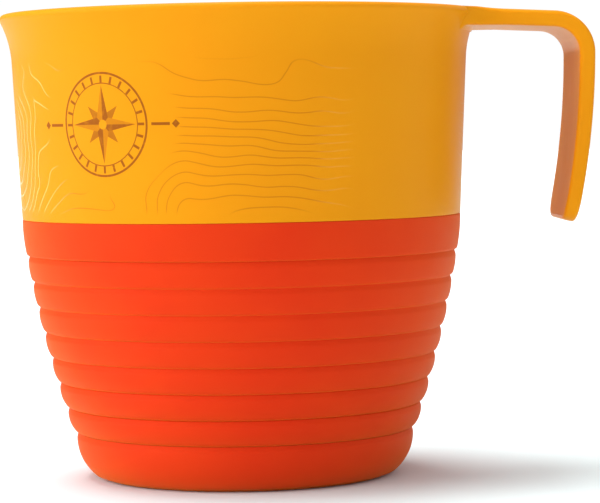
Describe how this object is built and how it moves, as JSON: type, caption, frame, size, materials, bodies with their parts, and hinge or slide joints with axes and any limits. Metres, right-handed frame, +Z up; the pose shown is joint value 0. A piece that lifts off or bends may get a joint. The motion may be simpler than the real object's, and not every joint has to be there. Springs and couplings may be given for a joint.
{
  "type": "collapsible travel cup",
  "caption": "Collapsible travel cup: a rigid flared upper shell with an open strap handle, on a soft stepped lower body that folds up inside the shell for packing.",
  "frame": {"origin": "on the cup's axis, on the surface that the cup stands on", "axes": "+Z up along the cup's axis, +X towards the handle"},
  "size_m": [0.1112, 0.0902, 0.0875],
  "materials": {
    "shell_plastic": "satin yellow polypropylene",
    "soft_elastomer": "soft matte orange elastomer"
  },
  "bodies": {
    "shell": {"rim_shell": "shell_plastic", "handle": "shell_plastic", "soft_collar": "soft_elastomer"},
    "ring_1": {"fold_ring_1": "soft_elastomer"},
    "ring_2": {"fold_ring_2": "soft_elastomer"},
    "ring_3": {"fold_ring_3": "soft_elastomer"},
    "ring_4": {"fold_ring_4": "soft_elastomer"},
    "ring_5": {"fold_ring_5": "soft_elastomer"},
    "ring_6": {"fold_ring_6": "soft_elastomer"},
    "ring_7": {"fold_ring_7": "soft_elastomer"},
    "base": {"soft_base": "soft_elastomer"}
  },
  "joints": [
    {"name": "base_push", "type": "slide", "parent": "shell", "child": "base", "axis": [0, 0, 1], "range_m": [0, 0.0672]},
    {"name": "ring_1_fold", "type": "slide", "parent": "shell", "child": "ring_1", "axis": [0, 0, 1], "range_m": [0, 0.0048], "deforming": ["fold_ring_1"]},
    {"name": "ring_2_fold", "type": "slide", "parent": "shell", "child": "ring_2", "axis": [0, 0, 1], "range_m": [0, 0.0144], "deforming": ["fold_ring_2"]},
    {"name": "ring_3_fold", "type": "slide", "parent": "shell", "child": "ring_3", "axis": [0, 0, 1], "range_m": [0, 0.024], "deforming": ["fold_ring_3"]},
    {"name": "ring_4_fold", "type": "slide", "parent": "shell", "child": "ring_4", "axis": [0, 0, 1], "range_m": [0, 0.0336], "deforming": ["fold_ring_4"]},
    {"name": "ring_5_fold", "type": "slide", "parent": "shell", "child": "ring_5", "axis": [0, 0, 1], "range_m": [0, 0.0432], "deforming": ["fold_ring_5"]},
    {"name": "ring_6_fold", "type": "slide", "parent": "shell", "child": "ring_6", "axis": [0, 0, 1], "range_m": [0, 0.0528], "deforming": ["fold_ring_6"]},
    {"name": "ring_7_fold", "type": "slide", "parent": "shell", "child": "ring_7", "axis": [0, 0, 1], "range_m": [0, 0.0624], "deforming": ["fold_ring_7"]}
  ],
  "couplings": [
    {"joint": "ring_1_fold", "follows": "base_push", "ratio": 0.071428},
    {"joint": "ring_2_fold", "follows": "base_push", "ratio": 0.21429},
    {"joint": "ring_3_fold", "follows": "base_push", "ratio": 0.35714},
    {"joint": "ring_4_fold", "follows": "base_push", "ratio": 0.5},
    {"joint": "ring_5_fold", "follows": "base_push", "ratio": 0.64286},
    {"joint": "ring_6_fold", "follows": "base_push", "ratio": 0.78571},
    {"joint": "ring_7_fold", "follows": "base_push", "ratio": 0.92857}
  ]
}
